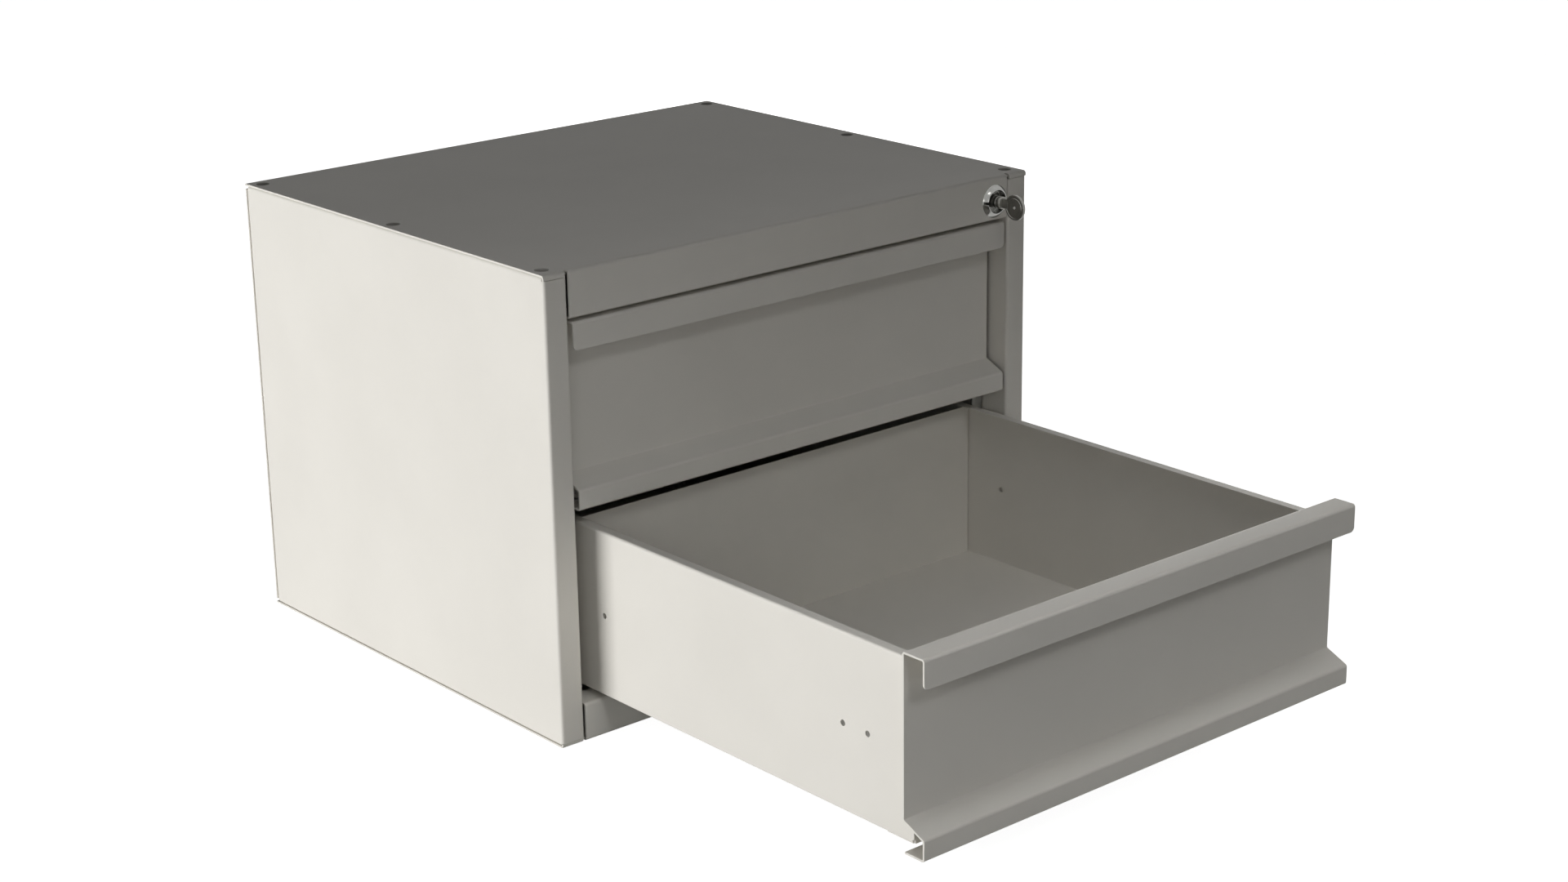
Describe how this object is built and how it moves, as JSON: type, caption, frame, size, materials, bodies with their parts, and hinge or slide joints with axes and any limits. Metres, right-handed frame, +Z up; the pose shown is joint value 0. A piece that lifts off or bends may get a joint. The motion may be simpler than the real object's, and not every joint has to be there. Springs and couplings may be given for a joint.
{
  "type": "two-drawer cabinet",
  "caption": "Steel under-bench cabinet with folded full-width drawer fronts, telescopic slides, a key lock in the top rail and fixing holes through the top.",
  "frame": {"origin": "centre of the casing's underside, the flat face it can stand on", "axes": "+Z up, -Y the front that the drawers open toward, +X right as seen from the front"},
  "size_m": [0.5, 0.7997, 0.376],
  "materials": {
    "powder_coat": "fine-textured semi-matt light grey powder coat on folded sheet steel",
    "zinc_plate": "bright zinc-plated steel",
    "glide_polymer": "natural moulded low-friction polymer",
    "chrome_plate": "polished chrome plate",
    "black_nickel": "dark nickel-plated steel"
  },
  "bodies": {
    "cabinet": {"left_side": "powder_coat", "right_side": "powder_coat", "top_panel": "powder_coat", "bottom_panel": "powder_coat", "back_panel": "powder_coat", "back_rivets": "zinc_plate", "upper_left_carrier": "zinc_plate", "upper_right_carrier": "zinc_plate", "lower_left_carrier": "zinc_plate", "lower_right_carrier": "zinc_plate", "carrier_screws": "zinc_plate", "upper_left_rail": "zinc_plate", "upper_right_rail": "zinc_plate", "lower_left_rail": "zinc_plate", "lower_right_rail": "zinc_plate", "rail_screws": "zinc_plate", "rail_glides": "glide_polymer", "lock_housing": "chrome_plate", "lock_nut": "zinc_plate", "bar_guides": "zinc_plate", "guide_rivets": "zinc_plate"},
    "upper_drawer": {"upper_front": "powder_coat", "upper_tray": "powder_coat", "upper_back": "powder_coat", "upper_front_nuts": "zinc_plate", "upper_left_runner": "zinc_plate", "upper_right_runner": "zinc_plate", "upper_runner_glides": "glide_polymer", "upper_catch": "zinc_plate", "upper_catch_rivets": "zinc_plate"},
    "lower_drawer": {"lower_front": "powder_coat", "lower_tray": "powder_coat", "lower_back": "powder_coat", "lower_front_nuts": "zinc_plate", "lower_left_runner": "zinc_plate", "lower_right_runner": "zinc_plate", "lower_runner_glides": "glide_polymer", "lower_catch": "zinc_plate", "lower_catch_rivets": "zinc_plate"},
    "lock_plug": {"lock_plug": "black_nickel", "lock_cam": "zinc_plate", "cam_screw": "zinc_plate"},
    "key": {"key": "black_nickel"},
    "lock_bar": {"lock_bar": "zinc_plate"},
    "upper_left_middle": {"upper_left_middle": "zinc_plate", "upper_left_glides": "glide_polymer"},
    "upper_right_middle": {"upper_right_middle": "zinc_plate", "upper_right_glides": "glide_polymer"},
    "lower_left_middle": {"lower_left_middle": "zinc_plate", "lower_left_glides": "glide_polymer"},
    "lower_right_middle": {"lower_right_middle": "zinc_plate", "lower_right_glides": "glide_polymer"}
  },
  "joints": [
    {"name": "upper_drawer_slide", "type": "slide", "parent": "cabinet", "child": "upper_drawer", "axis": [0, -1, 0], "range_m": [0, 0.3765]},
    {"name": "upper_left_middle_slide", "type": "slide", "parent": "cabinet", "child": "upper_left_middle", "axis": [0, -1, 0], "range_m": [0, 0.1883]},
    {"name": "upper_right_middle_slide", "type": "slide", "parent": "cabinet", "child": "upper_right_middle", "axis": [0, -1, 0], "range_m": [0, 0.1883]},
    {"name": "lower_drawer_slide", "type": "slide", "parent": "cabinet", "child": "lower_drawer", "axis": [0, -1, 0], "range_m": [-0.3765, 0]},
    {"name": "lower_left_middle_slide", "type": "slide", "parent": "cabinet", "child": "lower_left_middle", "axis": [0, -1, 0], "range_m": [-0.1883, 0]},
    {"name": "lower_right_middle_slide", "type": "slide", "parent": "cabinet", "child": "lower_right_middle", "axis": [0, -1, 0], "range_m": [-0.1883, 0]},
    {"name": "lock_plug_turn", "type": "hinge", "parent": "cabinet", "child": "lock_plug", "pos_m": [0.2135, -0.211, 0.3555], "axis": [0, -1, 0], "range_deg": [0, 90]},
    {"name": "key_slide", "type": "slide", "parent": "lock_plug", "child": "key", "axis": [0, -1, 0], "range_m": [0, 0.028]},
    {"name": "lock_bar_slide", "type": "slide", "parent": "cabinet", "child": "lock_bar", "axis": [0, 0, 1], "range_m": [0, 0.01273]}
  ],
  "couplings": [
    {"joint": "upper_left_middle_slide", "follows": "upper_drawer_slide", "ratio": 0.5},
    {"joint": "upper_right_middle_slide", "follows": "upper_drawer_slide", "ratio": 0.5},
    {"joint": "lower_left_middle_slide", "follows": "lower_drawer_slide", "ratio": 0.5},
    {"joint": "lower_right_middle_slide", "follows": "lower_drawer_slide", "ratio": 0.5},
    {"joint": "lock_plug_turn", "follows": "lock_bar_slide", "rad_per_m": 123.4}
  ]
}
